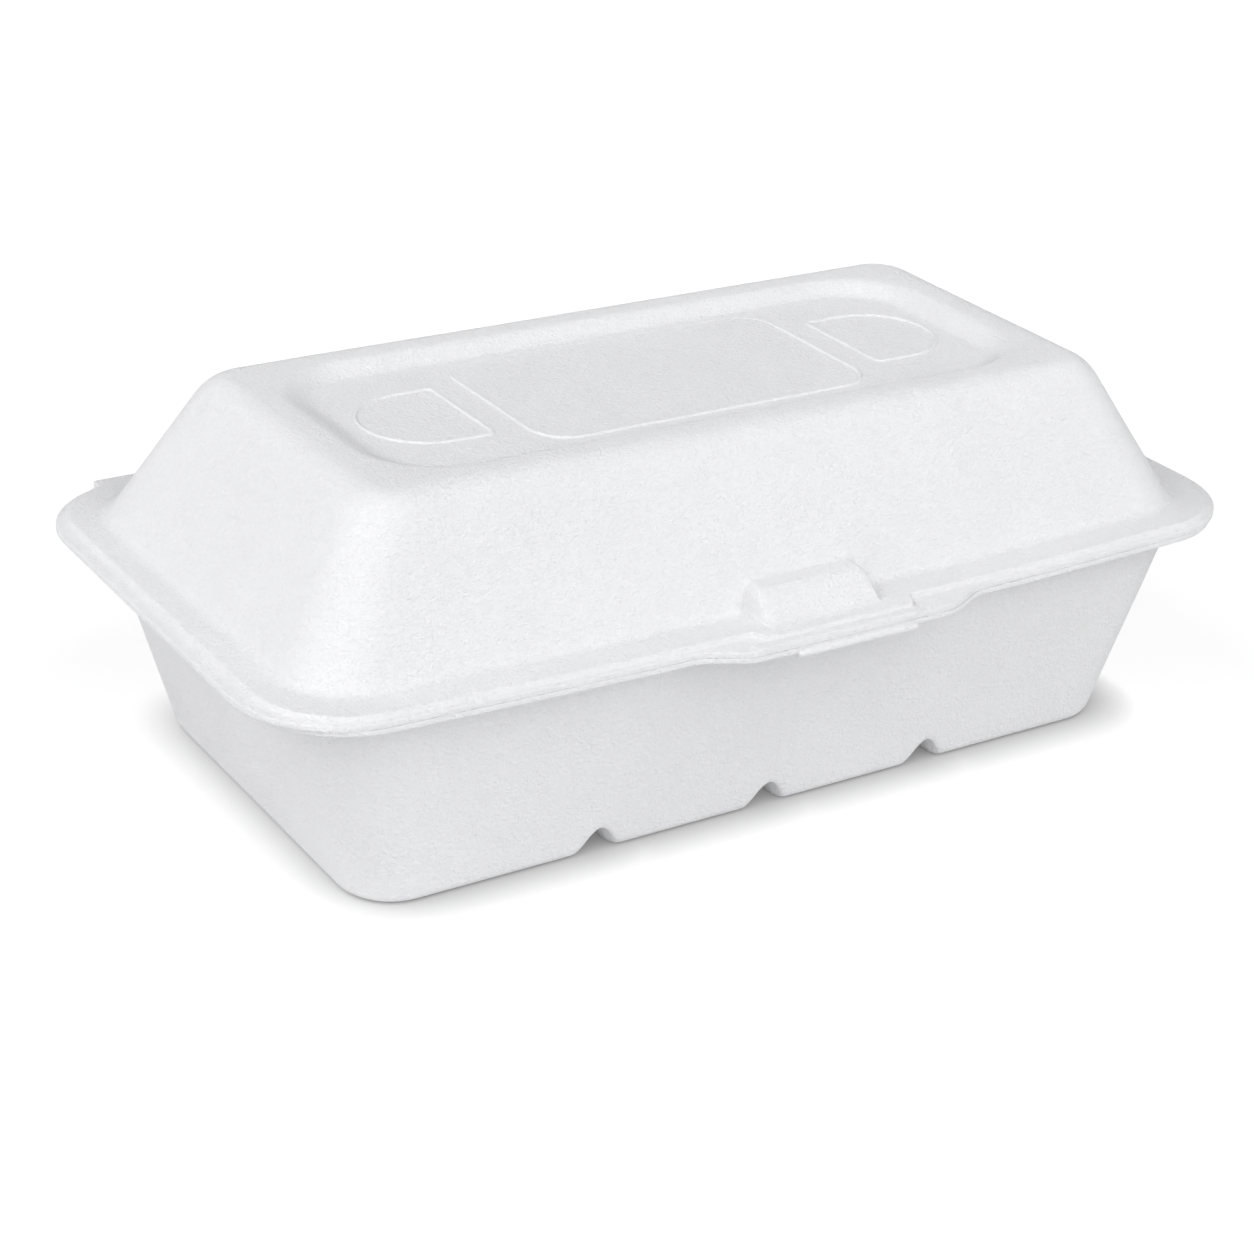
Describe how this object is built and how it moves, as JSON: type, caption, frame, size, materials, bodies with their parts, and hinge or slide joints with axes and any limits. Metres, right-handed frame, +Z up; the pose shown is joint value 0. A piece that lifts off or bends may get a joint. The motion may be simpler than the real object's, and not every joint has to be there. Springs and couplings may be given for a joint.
{
  "type": "bagasse clamshell box",
  "caption": "Closed moulded-pulp takeaway box: flared tray with channelled underside, domed recessed lid on a rear fold, and a front latch tab with boss.",
  "frame": {"origin": "on the surface that the box stands on, under the middle of its overall length and depth", "axes": "+X along the long side, -Y towards the latch at the front, +Y towards the fold at the rear, +Z up"},
  "size_m": [0.243, 0.1402, 0.0846],
  "materials": {
    "tray_pulp": "matt off-white moulded sugarcane pulp with a fine fibrous grain",
    "lid_pulp": "matt off-white moulded sugarcane pulp with a fine fibrous grain"
  },
  "bodies": {
    "base": {"base_tray": "tray_pulp"},
    "lid": {"lid": "lid_pulp"}
  },
  "joints": [
    {"name": "lid_fold", "type": "hinge", "parent": "base", "child": "lid", "pos_m": [0, 0.07025, 0.04995], "axis": [-1, 0, 0], "range_deg": [0, 180]}
  ]
}
